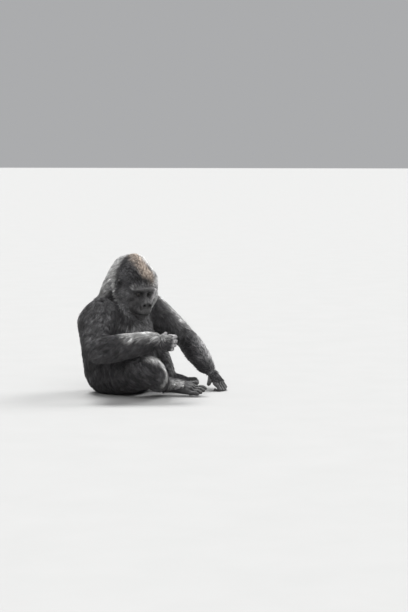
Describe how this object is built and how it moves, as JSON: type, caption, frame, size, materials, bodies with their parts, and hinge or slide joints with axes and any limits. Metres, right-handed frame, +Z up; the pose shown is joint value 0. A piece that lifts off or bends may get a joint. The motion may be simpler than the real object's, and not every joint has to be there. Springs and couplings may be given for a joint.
{
  "type": "gorilla",
  "caption": "Adult male gorilla sitting on the ground, head bowed and turned, one forearm across a raised knee, the other arm propped on its knuckles.",
  "frame": {"origin": "on the floor, under the middle of the whole animal", "axes": "+Z up; the chest faces -Y, so the animal's left side is towards +X"},
  "size_m": [1.0694, 0.8126, 0.8421],
  "materials": {
    "coat": "coarse dark grey-black hair, red-brown on the crown",
    "skin": "bare dark skin with a dull sheen",
    "eye": "wet dark brown"
  },
  "bodies": {
    "root": {"head": "coat", "neck": "coat", "trunk": "coat", "upper_arm_right": "coat", "upper_arm_left": "coat", "forearm_right": "coat", "forearm_left": "coat", "thigh_right": "coat", "thigh_left": "coat", "lower_leg_right": "coat", "lower_leg_left": "coat", "hand_right": "skin", "hand_left": "skin", "foot_right": "skin", "foot_left": "skin", "ear_right": "skin", "ear_left": "skin", "eye_right": "eye", "eye_left": "eye"}
  },
  "joints": []
}
